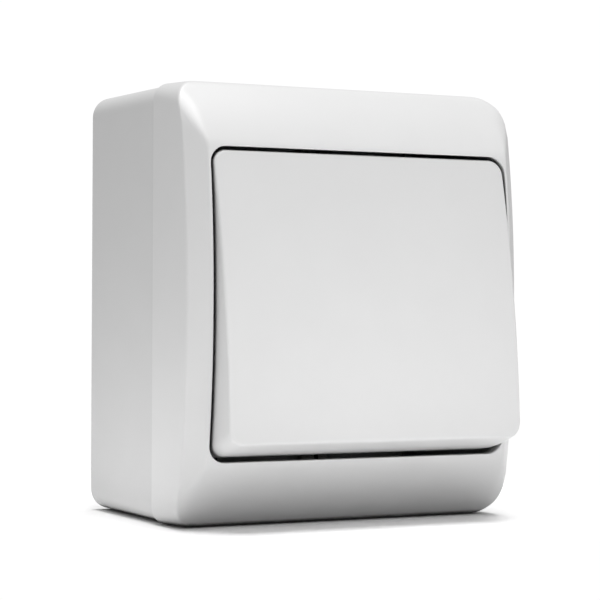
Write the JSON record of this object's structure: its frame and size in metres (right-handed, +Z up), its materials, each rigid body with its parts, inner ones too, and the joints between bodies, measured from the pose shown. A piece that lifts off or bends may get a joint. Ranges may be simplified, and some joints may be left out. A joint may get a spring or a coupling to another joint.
{
  "type": "rocker wall switch",
  "caption": "Surface-mounted wall switch: box, crowned frame cover and one large tilting rocker over a see-saw changeover mechanism.",
  "frame": {"origin": "centre of the back face, on the wall", "axes": "+Z up, front of the switch faces -Y, +X to the right as seen from the front"},
  "size_m": [0.0684, 0.0546, 0.0804],
  "materials": {
    "box_plastic": "satin",
    "cover_plastic": "satin",
    "rocker_plastic": "satin",
    "carrier_plastic": "satin",
    "base_plastic": "matte",
    "grommet_rubber": "matte",
    "bridge_steel": "zinc plated",
    "screw_steel": "zinc plated",
    "rivet_steel": "plain",
    "spring_steel": "drawn wire",
    "terminal_brass": "stamped",
    "contact_silver": "polished"
  },
  "bodies": {
    "housing": {"back_box": "box_plastic", "front_cover": "cover_plastic", "cable_grommet": "grommet_rubber", "mounting_bridge": "bridge_steel", "bridge_screws": "screw_steel", "mechanism_base": "base_plastic", "pivot_frame": "carrier_plastic", "mechanism_rivets": "rivet_steel", "common_terminal": "terminal_brass", "upper_terminal": "terminal_brass", "lower_terminal": "terminal_brass", "fixed_contact_tips": "contact_silver", "terminal_cages": "terminal_brass", "terminal_screws": "screw_steel"},
    "rocker": {"rocker": "rocker_plastic", "rocker_carrier": "carrier_plastic", "plunger_spring": "spring_steel"},
    "plunger": {"plunger": "carrier_plastic"},
    "moving_contact": {"moving_contact": "terminal_brass", "moving_contact_tips": "contact_silver"}
  },
  "joints": [
    {"name": "rocker_tilt", "type": "hinge", "parent": "housing", "child": "rocker", "pos_m": [0, -0.0411, 0], "axis": [1, 0, 0], "range_deg": [0, 16.2]},
    {"name": "contact_tilt", "type": "hinge", "parent": "housing", "child": "moving_contact", "pos_m": [0, -0.01823, 0], "axis": [1, 0, 0], "range_deg": [-14, 0]},
    {"name": "plunger_slide", "type": "slide", "parent": "rocker", "child": "plunger", "axis": [0, -0.99, 0.1409], "range_m": [0, 0.0006], "stiffness_N_per_m": 400, "springref_m": -0.004, "deforming": ["plunger_spring"]}
  ],
  "couplings": [
    {"joint": "contact_tilt", "follows": "rocker_tilt", "ratio": -0.8642}
  ]
}
